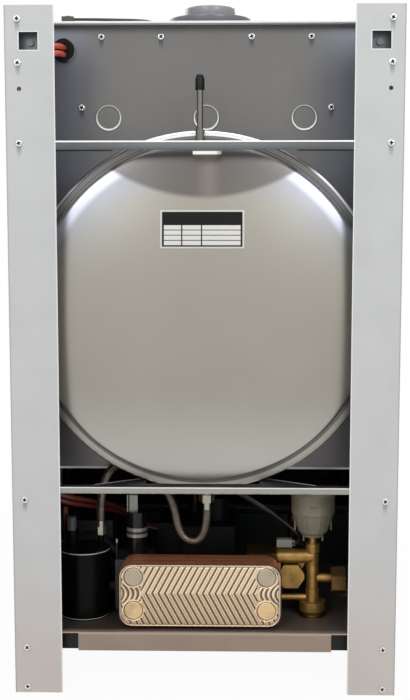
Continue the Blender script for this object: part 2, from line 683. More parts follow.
def clamp_overlay(coat):
    """Rolled line near the ring's inner lip, a dark outer corner that is bare at two places, and a
    paler foot and top."""
    away = coat.round_axis(VESSEL_X * MM, VESSEL_Z * MM)
    line = coat.most(coat.spot(away, 0.1802, 0.1809, 0.0002), coat.spot(away, 0.1857, 0.1867, 0.0002))
    coat.paint(coat.times(line, 0.75), 44, 43, 42)
    coat.paint(coat.rise(away, 0.1878, 0.1886, 0.6), 58, 57, 56)
    bare = coat.spot(coat.z, 0.500, 0.534, 0.008)
    coat.paint(coat.times(bare, coat.rise(away, 0.1862, 0.1872)), 240, 244, 250)
    bare = coat.times(coat.rise(coat.x, 0.0, -0.06), coat.spot(coat.z, 0.480, 0.548, 0.006))
    coat.paint(coat.times(bare, coat.rise(away, 0.1856, 0.1862)), 240, 243, 248)
    coat.paint(coat.times(coat.rise(coat.z, 0.36, 0.24, 0.7), coat.rise(away, 0.1816, 0.1822)), 190, 187, 174)
    coat.paint(coat.times(coat.rise(coat.z, 0.5766, 0.5772), coat.rise(away, 0.1836, 0.1842)), 252, 252, 250)


def tray_overlay(coat):
    """Dusty darker top of the tray behind its turned-down lip with a pale bend; what stands under the
    top, and the rear of the lip's two tabs, is nearly black."""
    top = coat.times(coat.rise(coat.z, 0.0645, 0.0655, 0.87), coat.rise(coat.y, -0.003, -0.013))
    dust = coat.mix(coat.rise(coat.x, 0.0, -0.12), tone(40, 39, 37), tone(80, 73, 67))
    coat.base = coat.mix(top, coat.base, dust)
    beside = coat.times(coat.spot(coat.x, -0.076, 0.086, 0.005), coat.spot(coat.y, -0.0135, -0.0052, 0.0006))
    coat.paint(coat.times(beside, 0.8), 84, 74, 66)
    coat.paint(coat.times(coat.rise(coat.z, 0.0650, 0.0646), coat.rise(coat.y, -0.009, -0.010)), 14, 13, 12)
    bend = coat.times(coat.rise(coat.z, 0.0630, 0.0640, 0.5), coat.rise(coat.y, -0.0032, -0.0022))
    coat.paint(bend, 196, 180, 164)


def can_overlay(coat):
    """Worn line round the rim and the foot of the pump's can."""
    patchy = coat.rise(coat.noise(coat.where, 70.0, 3.0), 0.34, 0.5)
    worn = coat.most(coat.times(coat.spot(coat.z, 0.1397, 0.1408, 0.0002), patchy),
                     coat.spot(coat.z, 0.0676, 0.0684, 0.0002))
    coat.paint(coat.times(worn, 0.8), 206, 202, 194)


def sleeve_overlay(coat):
    """Soot and dust on the leads near the gas valve."""
    coat.paint(coat.rise(coat.z, 0.27, 0.22, 0.85), 52, 26, 27)


def shaded_overlay(coat):
    """Old dull copper where the pipes run low, between the bottom fittings."""
    coat.paint(coat.rise(coat.z, 0.27, 0.24, 0.9), 40, 26, 20)


def tarnish_overlay(coat):
    """Old brown brass deep inside and at both ends of the casting."""
    old = coat.most(coat.rise(coat.y, -0.070, -0.082, 0.9), coat.rise(coat.x, -0.128, -0.138, 0.6),
                    coat.rise(coat.x, -0.082, -0.074, 0.92))
    coat.paint(old, 52, 37, 20)


def switch_overlay(coat):
    """Pressure switch: pale plug above, black body, a dull crimped band and black below."""
    coat.paint(coat.spot(coat.z, 0.1566, 0.1742, 0.0002), 24, 24, 25)
    coat.paint(coat.rise(coat.z, 0.1464, 0.1462), 24, 24, 25)
    coat.paint(coat.spot(coat.z, 0.1500, 0.1530, 0.0003), 66, 64, 60)
    coat.paint(coat.rise(coat.z, 0.1744, 0.1746), 150, 147, 139)


def label_overlay(coat):
    """Blank rating plate: bright margin, black band above and ruled pale fields below."""
    across = coat.math("DIVIDE", coat.less(coat.x, VESSEL_X * MM - PLATE_SIZE[0] / 2), PLATE_SIZE[0])
    up = coat.math("DIVIDE", coat.less(coat.z, PLATE_FOOT), PLATE_SIZE[1])

    def field(left, right, low, high):
        return coat.times(coat.spot(across, left, right, 0.004), coat.spot(up, low, high, 0.008))

    dark = field(0.022, 0.978, 0.045, 0.955)
    coat.paint(dark, 9, 9, 10)
    fields = coat.most(*[field(left, right, low, low + 0.115) for low in (0.085, 0.220, 0.355, 0.490)
                         for left, right in ((0.045, 0.50), (0.515, 0.735), (0.75, 0.955))])
    coat.paint(fields, 214, 211, 203)
    coat.rough = coat.between(coat.most(coat.less(1.0, dark), fields), 0.0, 1.0, 0.75, 0.45, kind="LINEAR")


def lining_overlay(coat):
    """Black sound lining on the faces that look into the casing, paint outside.

    The cover's outside is 7 mm round a smaller box at its edges, so what lies less than 6.4 mm
    from that box is inside.
    """
    aside = coat.vector("ABSOLUTE", coat.vector("SUBTRACT", coat.where, (0.0, -0.200, 0.425)))
    past = coat.vector("MAXIMUM", coat.vector("SUBTRACT", aside, (0.193, 0.118, 0.278)), (0.0, 0.0, 0.0))
    lined = coat.rise(coat.vector("DISTANCE", past, (0.0, 0.0, 0.0)), 0.0066, 0.0062)
    coat.paint(lined, 24, 24, 25)
    coat.rough = coat.most(coat.rough, coat.times(lined, 0.85))


def panel_overlay(coat):
    """Printed scale arcs and ticks round the two knobs; the tub behind the face is dark."""
    scales = []
    for knob in KNOBS_X:
        away, angle = coat.polar(knob, CONTROLS_Z)
        tick = coat.times(coat.ticks(angle, 0.4712, 0.02, 0.035), coat.near(away, 0.0216, 0.0011, 0.0013))
        marks = coat.most(coat.near(away, 0.0206, 0.0002, 0.00035), tick)
        scales.append(coat.times(coat.rise(coat.unsigned(angle), 2.36, 2.34), marks))
    coat.paint(coat.times(coat.most(*scales), coat.rise(coat.y, -0.3246, -0.3248)), 58, 60, 66)
    tub = coat.times(coat.rise(coat.y, -0.3227, -0.3223), coat.rise(coat.across, 0.1936, 0.1930))
    coat.paint(tub, 22, 22, 23)


def board_overlay(coat):
    """Green laminate with paler copper lands; what stands on its front is dark moulding."""
    lands = coat.fill(coat.node("ShaderNodeTexBrick", offset=0.37, squash=1.0), Scale=5.0,
                      Vector=coat.stretch(coat.where, (60.0, 60.0, 60.0)), Color1=opaque(tone(30, 78, 46)),
                      Color2=opaque(tone(24, 64, 38)), Mortar=opaque(tone(46, 104, 62)))
    coat.base = coat.mix(0.6, coat.base, lands.outputs["Color"])
    coat.paint(coat.rise(coat.y, -0.2713, -0.2716), 44, 46, 52)
    coat.paint(coat.rise(coat.y, -0.2700, -0.2697, 0.8), 16, 22, 20)


def dial_overlay(coat):
    """Gauge face with black ticks over three quarters of a turn and a red end band."""
    away, angle = coat.polar(GAUGE_X, CONTROLS_Z)
    swept = coat.rise(coat.unsigned(angle), 2.12, 2.10)
    tick = coat.times(coat.ticks(angle, 0.2618, 0.03, 0.06), coat.near(away, 0.0150, 0.0012, 0.0014))
    band = coat.times(coat.rise(angle, 1.30, 1.32), coat.near(away, 0.0128, 0.0006, 0.0008))
    coat.paint(coat.rise(away, 0.0171, 0.0170), 240, 240, 238)
    coat.paint(coat.times(swept, tick), 20, 20, 20)
    coat.paint(coat.times(swept, band), 196, 30, 24)
    coat.paint(coat.rise(away, 0.0172, 0.0175), 36, 37, 40)


def heat_overlay(coat):
    """Straw to blue heat tint that grows towards the hottest part of the firebox."""
    coat.paint(coat.times(coat.rise(coat.z, 0.37, 0.48), coat.noise(coat.where, 22.0, 3.0)), 128, 98, 70)


def pressed_overlay(coat):
    """Bare crests, brown braze stain in the hollows, grey rim, and warm or dull port discs."""
    level, rim, port, side = (coat.shown(name) for name in ("pressed", "border", "disc", "flank"))
    coat.paint(coat.rise(level, 0.95, 0.2, 0.6), 142, 108, 78)
    coat.paint(coat.rise(side, 0.54, 0.9, 0.8), 255, 240, 214)
    coat.paint(coat.rise(side, 0.44, 0.10, 0.68), 88, 61, 42)
    coat.paint(coat.rise(level, 0.3, 0.0, 0.9), 52, 35, 25)
    coat.paint(coat.times(rim, 0.5), 150, 140, 126)
    coat.paint(coat.times(rim, coat.rise(coat.z, 0.0705, 0.0690, 0.8)), 92, 80, 70)
    stain = coat.rise(coat.noise(coat.where, 60.0, 4.0, 0.6), 0.4, 0.7, 0.5)
    face = coat.mix(coat.rise(coat.z, 0.104, 0.100), tone(176, 166, 146), tone(226, 190, 142))
    face = coat.mix(stain, face, tone(150, 134, 112))
    coat.base = coat.mix(coat.times(port, 0.9), coat.base, face)
    coat.rough = coat.plus(coat.rough, coat.rise(level, 0.5, 0.0, 0.15))


def streaked_overlay(coat):
    """Lighter and darker streaks along the edges of the brazed plates."""
    lines = coat.noise(coat.stretch(coat.where, (9.0, 320.0, 9.0)), 1.0, 3.0, 0.6)
    coat.paint(coat.rise(lines, 0.52, 0.68, 0.6), 232, 158, 118)
    coat.paint(coat.rise(lines, 0.46, 0.34, 0.7), 92, 50, 32)


def driven_overlay(coat):
    """Black bottom of the cross recess."""
    level = coat.rise(coat.shown("recess"), 0.35, 0.75, 0.95)
    coat.rough = coat.most(coat.rough, coat.times(level, 0.8))
    coat.paint(level, 12, 12, 12)


def woven_overlay(coat):
    """Dark gaps between the bundles, and old dark dirt where the hose turns over."""
    coat.paint(coat.rise(coat.shown("braid"), 0.8, 0.15, 0.75), 70, 65, 58)
    coat.paint(coat.rise(coat.z, 0.2190, 0.2235, 0.85), 38, 33, 29)


# Pieces and the operators that make them

# Nodes, name, colour, effect, relief in micrometres, roughness, metallic, darker tone, grime, overlay,
# and the shader's further sockets.
CASING_PARTS = (
    ("side_panel_left side_panel_right", "Frame powder coat", "frame_paint", "grain", 20, (0.45, 0.55), 0.0,
     0.95, 0.1, rail_overlay),
    ("flue_collar", "Collar coat", (124, 124, 130), "grain", 20, (0.24, 0.34)),
    ("back_panel", "Back panel zinc", "panel_zinc", "sheet", 8, (0.36, 0.46), 0.7, 0.9, 0.2,
     panel_sheet_overlay),
    ("chamber_shell chamber_lid flue_hood fan_housing", "Folded zinc", "zinc", "spangle", 10, (0.38, 0.52),
     0.8, 0.8, 0.25),
    ("hook_brackets", "Hook zinc", (112, 115, 118), "spangle", 10, (0.34, 0.46), 0.6, 0.75, 0.25),
    ("firebox", "Heated steel", "zinc", "brushed", 10, (0.4, 0.55), 0.85, 0.7, 0.15, heat_overlay),
    ("upper_bracket", "Upper bracket zinc", (96, 98, 98), "sheet", 8, (0.34, 0.44), 0.55, 0.86, 0.2,
     upper_bracket_overlay),
    ("lower_bracket", "Lower bracket zinc", (166, 163, 152), "sheet", 8, (0.36, 0.46), 0.4, 0.92, 0.3,
     lower_bracket_overlay),
    ("bottom_tray", "Tray coat", "tray", "grain", 30, (0.38, 0.5), 0.3, 0.88, 0.4, tray_overlay),
    ("cable_grommet", "Grommet rubber", (22, 22, 23), "grain", 30, (0.55, 0.7), 0.0, 0.8, 0.15,
     grommet_overlay, {"Specular_IOR_Level": 0.2}),
    ("sight_glass", "Sight glass", (206, 214, 208), "grain", 2, (0.05, 0.09), 0.0, 0.98, 0.0, None,
     {"Transmission_Weight": 0.9}),
)
VESSEL_PARTS = (
    ("vessel_inner_shell", "Vessel lacquer", "lacquer", "grain", 20, (0.28, 0.34), 0.65, 0.95, 0.0,
     dish_overlay, {"size": 0.6}),
    ("vessel_air_stem", "Stem plate", (122, 117, 112), "brushed", 10, (0.25, 0.36), 0.8),
    ("vessel_clamp_ring", "Clamp ring zinc", (132, 130, 126), "sheet", 10, (0.28, 0.38), 0.7, 0.85, 0.15,
     clamp_overlay),
    ("vessel_plate", "Rating plate foil", (206, 204, 198), "brushed", 4, (0.3, 0.4), 0.4, 0.93, 0.1,
     label_overlay),
    ("vessel_diaphragm", "Diaphragm rubber", (28, 28, 29), "grain", 30, (0.6, 0.75)),
)
HYDRAULICS_PARTS = (
    ("flow_group", "Cast brass", "brass", "cast", 60, (0.34, 0.48), 0.7, 0.52, 0.2, tarnish_overlay),
    ("connection_stubs diverter_spindle", "Turned brass", "brass", "brushed", 10, (0.22, 0.34), 0.95, 0.75),
    ("copper_pipes primary_exchanger", "Copper pipe", "copper", "cast", 10, (0.24, 0.4), 0.95, 0.62, 0.15,
     shaded_overlay, {"size": 0.5}),
    ("pump_body", "Composite black", (8, 7, 6), "grain", 30, (0.34, 0.46), 0.0, 0.7, 0.03, can_overlay,
     {"Specular_IOR_Level": 0.1}),
    ("return_group filling_knob", "Moulded black", "black", "grain", 40, (0.4, 0.55), 0.0, 0.75),
    ("pump_motor", "Pump paint", (32, 33, 36), "cast", 40, (0.4, 0.52), 0.0, 0.8, 0.15, None, {"size": 0.8}),
    ("pump_rotor", "Rotor steel", (120, 120, 122), "brushed", 10, (0.3, 0.4), 0.9),
    ("pressure_switch", "Switch plate", (178, 176, 170), "brushed", 10, (0.2, 0.32), 0.3, 0.78, 0.15,
     switch_overlay),
    ("fan_motor", "Die-cast alloy", (170, 172, 174), "cast", 50, (0.38, 0.5), 0.85),
    ("gas_valve", "Dark valve coat", (14, 14, 15), "cast", 40, (0.42, 0.55), 0.0, 0.8, 0.15, None,
     {"Specular_IOR_Level": 0.2}),
    ("safety_valve_knob", "Relief red", (176, 34, 28), "grain", 20, (0.3, 0.4)),
    ("air_vent_cap", "Vent grey", (92, 93, 95), "grain", 20, (0.4, 0.5)),
)
COMBUSTION_PARTS = (
    ("burner", "Burner steel", (128, 120, 112), "brushed", 20, (0.4, 0.55), 0.85, 0.65, 0.15, heat_overlay),
    ("firebox_boards", "Fibre board", (222, 216, 202), "cast", 200, (0.85, 0.95), 0.0, 0.8, 0.15, None,
     {"size": 0.6}),
    ("electrodes", "Glazed ceramic", (232, 228, 214), "grain", 10, (0.1, 0.2)),
    ("fan_impeller", "Fan alloy", (150, 152, 154), "brushed", 10, (0.3, 0.42), 0.9),
)
CONTROLS_PARTS = (
    ("control_panel", "Panel moulding", "cover", "grain", 30, (0.32, 0.4), 0.0, 0.96, 0.05, panel_overlay),
    ("heating_knob water_knob", "Knob moulding", (208, 209, 211), "grain", 30, (0.3, 0.4), 0.0, 0.92, 0.05),
    ("reset_button", "Button moulding", (180, 34, 30), "grain", 20, (0.22, 0.3)),
    ("gauge_needle", "Needle paint", (18, 18, 18), "grain", 10, (0.3, 0.4)),
    ("circuit_board", "Circuit laminate", (30, 78, 46), "grain", 20, (0.3, 0.42), 0.0, 0.8, 0.15,
     board_overlay),
    ("pressure_gauge", "Gauge face", (40, 41, 44), "grain", 20, (0.25, 0.35), 0.0, 0.8, 0.0, dial_overlay),
)


def dress_parts(rows):
    """Finishes the CAD parts of one table and returns its materials by name."""
    made = {}
    for nodes, name, *settings in rows:
        sockets = settings.pop() if isinstance(settings[-1], dict) else {}
        made[name] = finish(name, *settings, **sockets)
        dress(made[name], nodes)
    return made


class BOILER_OT_casing(bpy.types.Operator):
    """Finish the sheet parts and turn the flue's two spigots and the panel's hem"""
    bl_idname = "boiler.casing"
    bl_label = "Casing finishes"

    def execute(self, context):
        coat = dress_parts(CASING_PARTS)["Collar coat"]
        ring = lathe(rounded(AIR_RING_PROFILE, 8) * MM, FLUE_AXIS, "z", segments=FLUE_SEGMENTS)
        add_piece("air_ring", surface("air_ring", ring), "casing", coat, "air_socket")
        pipe = rounded(FLUE_PROFILE, 8)
        tube = lathe(pipe * MM, FLUE_AXIS, "z", segments=FLUE_SEGMENTS)
        square = pipe[:, 0] > 0.99 * ADAPTER_HALF
        turn = np.linspace(0, 2 * math.pi, FLUE_SEGMENTS, endpoint=False)
        reach = 1 / np.maximum(np.abs(np.cos(turn)), np.abs(np.sin(turn)))
        middle = np.array(FLUE_AXIS[:2])
        tube[square, :, :2] = middle + (tube[square, :, :2] - middle) * reach[None, :, None]
        add_piece("flue_cap", surface("flue_cap", tube), "casing",
                  finish("Cap coat", (166, 166, 169), "grain", 20, (0.24, 0.34)), "flue_pipe")
        boxes("panel_hem", HEM_SPANS, 0.5,
              finish("Hem zinc", (240, 240, 237), "sheet", 10, (0.3, 0.4), 0.2, 0.95))
        return {"FINISHED"}


class BOILER_OT_vessel(bpy.types.Operator):
    """Finish the expansion vessel and build its dish and its ribbed valve cap"""
    bl_idname = "boiler.vessel"
    bl_label = "Expansion vessel"

    def execute(self, context):
        lacquer = dress_parts(VESSEL_PARTS)["Vessel lacquer"]
        across = np.linspace(0, DISH_CROWN_HALF, DISH_STEPS)
        depth = -DISH_NEAR - DISH_RADIUS + np.sqrt(DISH_RADIUS ** 2 - across ** 2)
        outside = np.stack([across, depth], axis=1)
        behind = (DISH_CROWN_HALF, depth[-1] - DISH_EDGE_GAUGE)
        shoulder = rounded([(DISH_CROWN_HALF, depth[-1]), *DISH_SHOULDER, behind], 8)
        inside = outside[::-1] - (0.0, DISH_GAUGE)
        dish = lathe(np.concatenate([outside, shoulder[1:-1], inside]) * MM,
                     (VESSEL_X * MM, 0.0, VESSEL_Z * MM), "y", segments=DISH_SEGMENTS)
        add_piece("vessel_dish", surface("vessel_dish", dish), "casing", lacquer,
                  "vessel_outer_shell")
        low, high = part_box("vessel_valve_cap")
        segments = sizes().cap_ribs * 8
        profile = rounded(VALVE_CAP_PROFILE, 5) * MM
        centre = ((low.x + high.x) / 2, (low.y + high.y) / 2, high.z)
        points = lathe(profile, centre, "z", segments=segments)
        angle = np.linspace(0, 2 * math.pi, segments, endpoint=False)
        ribbed = (profile[:, 0] > 4.5 * MM) & (profile[:, 1] > -15.2 * MM)
        wave = 0.5 - 0.5 * np.cos(sizes().cap_ribs * angle)
        pull = 1 - CAP_RIB_DEPTH * wave[None, :] * ribbed[:, None]
        middle = np.array(centre[:2])
        points[..., :2] = middle + (points[..., :2] - middle) * pull[..., None]
        add_piece("valve_cap", surface("valve_cap", points), "vessel_valve_cap",
                  finish("Cap plastic", (9, 9, 9), "grain", 20, (0.28, 0.4), Specular_IOR_Level=0.25),
                  "vessel_valve_cap")
        return {"FINISHED"}


def smooth_step(value, low, high):
    """t * t * (3 - 2 * t), where t goes from 0 at low to 1 at high."""
    share = np.clip((value - low) / (high - low), 0, 1)
    return share ** 2 * (3 - 2 * share)


def swell(value, centre, soft):
    """1 / (1 + exp((centre - value) / soft)): from nought to one about the centre."""
    return 1 / (1 + np.exp(np.clip((centre - value) / soft, -EXPONENT_LIMIT, EXPONENT_LIMIT)))


def gate(value, low, high, soft):
    """One between low and high, nought outside them."""
    return swell(value, low, soft) * swell(-value, -high, soft)


def carry(mesh, name, values):
    """Gives each point of a mesh a value under a name, for its finish."""
    mesh.attributes.new(name, "FLOAT", "POINT").data.foreach_set("value", values)


def chevron_relief(x, z, size):
    """Height over the end plate's face, in millimetres, and the masks that its finish needs.

    Ridges run along x plus the slope times the distance from mid-height, so they bend there;
    each has a fine groove along its crest; they fade out at the rim and round the four pressed
    port discs, and short waves fill the space between the discs at each end.
    """
    across = x - PRESSED_MIDDLE[0]
    up = z - PRESSED_MIDDLE[1]
    bend = up - CHEVRON_BEND
    relief = size.chevron_relief / MM
    place = (across + CHEVRON_SLOPE * np.abs(bend)) / (size.chevron_pitch / MM)
    off_crest = np.abs(place - np.round(place))
    deep = np.exp(-((off_crest - 0.5) / 0.19) ** 2)
    fine = np.exp(-(off_crest / 0.075) ** 2) * np.where(bend > 0, 0.42, 0.6)
    edge_x = PRESSED_HALF[0] - np.abs(across)
    edge_z = PRESSED_HALF[1] - np.abs(up)
    corner_x = np.maximum(PRESSED_CORNER - edge_x, 0.0)
    corner_z = np.maximum(PRESSED_CORNER - edge_z, 0.0)
    inset = np.where((corner_x > 0) & (corner_z > 0), PRESSED_CORNER - np.hypot(corner_x, corner_z),
                     np.minimum(edge_x, edge_z))
    port = np.minimum.reduce([np.hypot(np.abs(across) - PORT_ACROSS, up - height) for height in PORT_HEIGHTS])
    between = smooth_step(np.abs(across), 60.0, 64.0) * smooth_step(13.0 - np.abs(up - 2.0), 0.0, 3.0)
    short = 0.5 + 0.5 * np.cos(2 * math.pi * (np.abs(across) - 0.06 * (up - 2.0) ** 2) / 5.2)
    field = smooth_step(inset, 2.6, 4.2) * smooth_step(port, 10.6, 12.2)
    lines = (1 - deep - fine) * (1 - between) + short * between
    rim = smooth_step(inset, 0.6, 1.6) * (1 - smooth_step(inset, 2.2, 3.2))
    disc = 1 - smooth_step(port, 9.2, 9.9)
    collar = smooth_step(port, 10.1, 10.6) * (1 - smooth_step(port, 11.4, 12.0))
    collar = collar * smooth_step(inset, 0.8, 1.6)
    height = relief * np.maximum.reduce([lines * field, 0.95 * rim, 1.05 * disc, 0.9 * collar])
    dents = 0.08 * np.sin(across * 1.3 + 2) * np.cos(up * 1.1) * disc
    edge_drop = 1.6 * (1 - smooth_step(inset, 0.0, 0.9))
    flank = np.clip(0.5 - 0.5 * np.gradient(height, axis=1) / np.gradient(x, axis=1), 0, 1)
    masks = {"pressed": np.clip(height / relief, 0, 1), "border": 1 - smooth_step(inset, 2.0, 3.4),
             "disc": disc, "flank": flank}
    return height + dents - edge_drop, masks


class BOILER_OT_plate_exchanger(bpy.types.Operator):
    """Press the ridged end plate of the plate exchanger and finish its copper-brazed pack"""
    bl_idname = "boiler.plate_exchanger"
    bl_label = "Plate exchanger"

    def execute(self, context):
        columns, rows = FACE_COLUMNS, FACE_ROWS
        half_x, half_z = PRESSED_HALF
        up = np.linspace(-half_z, half_z, rows)[:, None]
        into = np.maximum(np.abs(up) - (half_z - PRESSED_CORNER), 0.0)
        half = half_x - (PRESSED_CORNER - np.sqrt(np.maximum(PRESSED_CORNER ** 2 - into ** 2, 0.0)))
        share = np.linspace(-1, 1, columns)[None, :]
        x = PRESSED_MIDDLE[0] + share * half
        z = PRESSED_MIDDLE[1] + up + 0 * share
        height, masks = chevron_relief(x, z, sizes())
        front = np.stack([x, PRESSED_FACE_Y + height, z], axis=2).reshape(-1, 3)
        loop = np.r_[np.arange(columns), np.arange(2, rows) * columns - 1,
                     np.arange(rows * columns - 1, (rows - 1) * columns - 1, -1),
                     np.arange(rows - 2, 0, -1) * columns]
        back = front[loop].copy()
        back[:, 1] = PRESSED_BACK_Y
        behind = len(front) + np.arange(len(loop))
        walls = np.stack([loop, np.roll(loop, -1), np.roll(behind, -1), behind], axis=1)
        faces = grid_faces(rows, columns).tolist() + walls.tolist() + [behind.tolist()]
        mesh = bpy.data.meshes.new("exchanger_face")
        mesh.from_pydata(np.concatenate([front, back]) * MM, [], faces)
        for name, values in masks.items():
            carry(mesh, name, np.r_[values.ravel(), np.zeros(len(back))])
        close_up(mesh, merge=False)
        steel = finish("Pressed plate steel", "plate_steel", "brushed", 10, (0.24, 0.38), 0.75, 0.85, 0.3,
                       pressed_overlay, size=0.7)
        add_piece("exchanger_face", mesh, "casing", steel, "exchanger_end_plate")
        copper = finish("Brazed copper", (204, 128, 88), "cast", 20, (0.4, 0.55), 0.5, 0.62, 0.3,
                        streaked_overlay, size=0.8)
        dress(copper, "exchanger_plate_pack")
        return {"FINISHED"}


class BOILER_OT_screws(bpy.types.Operator):
    """Build the pan-head screws with their cross recess"""
    bl_idname = "boiler.screws"
    bl_label = "Pan-head screws"

    def execute(self, context):
        size = sizes()
        share = np.array(HEAD_RINGS) / HEAD_RINGS[-2]
        radius = share * size.screw_head
        height = size.screw_rise * (0.55 + 0.45 * np.sqrt(np.maximum(1 - 0.86 * share ** 2, 0)))
        height[-3] = 0.45 * size.screw_rise
        height[-2:] = 0.0
        angle = np.linspace(0, 2 * math.pi, 48, endpoint=False)
        first = radius[:, None] * np.cos(angle)
        second = radius[:, None] * np.sin(angle)
        arm = np.minimum(np.abs(first), np.abs(second))
        reach = np.maximum(np.abs(first), np.abs(second))
        cross = swell(-arm, -size.recess_width / 2, 0.00009) * swell(-reach, -RECESS_ARM, 0.00012)
        sunk = height[:, None] - size.recess_depth * cross * (height[:, None] > 0.5 * size.screw_rise)
        heads = []
        for index, (x, y, z) in enumerate(SCREW_PLACES):
            turn = 0.6 * index
            across = first * math.cos(turn) - second * math.sin(turn)
            up = first * math.sin(turn) + second * math.cos(turn)
            heads.append(np.stack([x * MM + across, y * MM + sunk, z * MM + up], axis=2))
        rows, columns, _ = heads[0].shape
        faces = [grid_faces(rows, columns, wrap_columns=True, start=index * rows * columns)
                 for index in range(len(heads))]
        mesh = bpy.data.meshes.new("screw_heads")
        mesh.from_pydata(np.concatenate([head.reshape(-1, 3) for head in heads]), [],
                         np.concatenate(faces).tolist())
        core = swell(-np.hypot(first, second), -RECESS_CORE, 0.0001)
        carry(mesh, "recess", np.tile(np.maximum(cross, core).ravel(), len(heads)))
        close_up(mesh)
        plate = finish("Screw zinc", (230, 230, 227), "brushed", 10, (0.2, 0.34), 0.75,
                       overlay=driven_overlay)
        add_piece("screw_heads", mesh, "casing", plate, "pan_head_screws")
        return {"FINISHED"}


class BOILER_OT_hose(bpy.types.Operator):
    """Braid the flexible hose and finish its nuts"""
    bl_idname = "boiler.hose"
    bl_label = "Braided hose"

    def execute(self, context):
        size = sizes()
        line, places = evenly(points_on(route("hose_line", HOSE_ROUTE)), HOSE_STEP)
        _, side, other = frames_along(line)
        angle = np.linspace(0, 2 * math.pi, HOSE_SEGMENTS, endpoint=False)[None, :]
        lay = size.braid_bundles * angle
        climb = 2 * math.pi * places[:, None] / BRAID_PITCH
        right = np.abs(np.cos((lay + climb) / 2)) ** BUNDLE_FLATNESS
        left = np.abs(np.cos((lay - climb) / 2)) ** BUNDLE_FLATNESS
        right_over = np.cos((lay + climb) / 2 + (lay - climb) / 2) > 0
        height = np.where(right_over, np.maximum(right, UNDER_BUNDLE * left),
                          np.maximum(left, UNDER_BUNDLE * right))
        radius = HOSE_RADIUS - size.braid_relief * (1 - height)
        points = (line[:, None, :] + radius[..., None] * (np.cos(angle)[..., None] * side[:, None, :]
                                                        + np.sin(angle)[..., None] * other[:, None, :]))
        ends = [np.repeat(line[place, None, :][None], HOSE_SEGMENTS, axis=1) for place in (0, -1)]
        mesh = surface("braided_hose", np.concatenate([ends[0], points, ends[1]], axis=0))
        co = np.empty(len(mesh.vertices) * 3)
        mesh.vertices.foreach_get("co", co)
        nearest = [np.min(np.linalg.norm(part[:, None, :] - line[None, ::2, :], axis=2), axis=1)
                   for part in np.array_split(co.reshape(-1, 3), 20)]
        over = np.concatenate(nearest) - HOSE_RADIUS + size.braid_relief
        carry(mesh, "braid", np.clip(over / size.braid_relief, 0, 1))
        steel = finish("Braid steel", (106, 98, 86), "cast", 30, (0.26, 0.4), 0.9, 0.72, 0.1, woven_overlay,
                       size=3.0)
        hose = add_piece("braided_hose", mesh, "casing", steel, "flexible_hose")
        dress(finish("Nut plate", (176, 172, 161), "brushed", 10, (0.22, 0.34), 0.9), "hose_nuts")
        return {"FINISHED"}


def lead_route(index):
    """Control points of one ignition lead, upper 0 and lower 1, in millimetres."""
    shift = 7.0 * index
    corner = 195.1
    bore, x, socket = ((682.3, 20.0, 362.0), (674.7, -20.0, 374.0))[index]
    return [(56, -150 - 12 * index, 138), (72, -150 - 12 * index, 138), (98, -134 - 4 * index, 168 - shift),
            (128, -104 - 4 * index, 182 - shift), (160, -78 - 2 * index, 193 - shift),
            (corner - 8.4, -64 - shift, 212 - shift), (corner, -48 - shift, 262),
            (corner, -48 - shift, 579.7 + shift), (corner - 11 - 4 * index, -58 - 10 * index, 644 + shift),
            (corner - 16.4 - shift, -66, bore - 4), (153.4, -70, bore), (153.4, -122, bore),
            (172, -150 - shift, 650), (176, -158 - shift, 600), (176, -158 - shift, 400),
            (168, -190 - shift, 372 + shift), (130, -256, socket), (x + 4, -256, socket)]


def wire_route(beside):
    """Control points of a sensor wire that runs beside the middle of its pair, in millimetres."""
    return [(-95, -69 + beside, PLUG_LEVEL), (-104, -72 + beside, PLUG_LEVEL),
            (-105, -92 + beside, PLUG_LEVEL + 4), (-78 + beside, -98, 168 + beside),
            (-40 + beside, -102, 192 + beside), (0, -112 + beside, 205), (36, -132 + beside, 198),
            (40, -150 + beside, 172), (40, -150 + beside, 150)]


def earth_route():
    """Control points of the earth lead, from its clip to the flue collar, in millimetres."""
    x, y = (axis / MM + COLLAR_RADIUS * math.sqrt(0.5) for axis in FLUE_AXIS[:2])
    return [(143, -100, 713.8), (122, -101, 713.9), (98, -105, 714.1), (76, -114, 715.2),
            (60, -125, 715.6), (x + 6, y + 6, 710.2), (x, y, 709.8)]


def lay_cord(name, points, radius, material, node):
    """A round cord along its route, standing for its CAD part."""
    piece = add_piece(name, route(name, points, radius), "casing", material, node)


class BOILER_OT_leads(bpy.types.Operator):
    """Lay the ignition leads, the sensor cables with their plug and the earth lead"""
    bl_idname = "boiler.leads"
    bl_label = "Leads and cables"

    def execute(self, context):
        sleeve = finish("Silicone sleeve", "silicone", "grain", 20, (0.3, 0.42), 0.0, 0.86, 0.1,
                        sleeve_overlay, Coat_Weight=0.3, Coat_Roughness=0.3)
        for index, (name, length) in enumerate((("lead_upper", 1.229), ("lead_lower", 1.256))):
            lay_cord(name, lead_route(index), 0.0031, sleeve, "ignition_leads")
        sheath = finish("Cable sheath", (52, 51, 50), "grain", 20, (0.35, 0.5))
        boxes("sensor_plug", PLUG_SPANS, 0.8,
              finish("Plug plastic", (150, 146, 139), relief=20), "sensor_cable")
        for name, beside, length in (("sensor_wire_near", 2.5, 0.240), ("sensor_wire_far", -2.5, 0.239)):
            lay_cord(name, wire_route(beside), 0.0022, sheath, "sensor_cable")
        boxes("lead_clip", CLIP_SPANS, 0.6,
              finish("Clip plastic", (70, 68, 66), relief=20), "top_lead")
        lay_cord("earth_lead", earth_route(), 0.0015, sheath, "top_lead")
        return {"FINISHED"}


class BOILER_OT_hydraulics(bpy.types.Operator):
    """Finish the brass, copper, composite and cast parts under the vessel"""
    bl_idname = "boiler.hydraulics"
    bl_label = "Hydraulic finishes"

    def execute(self, context):
        dress_parts(HYDRAULICS_PARTS)
        return {"FINISHED"}


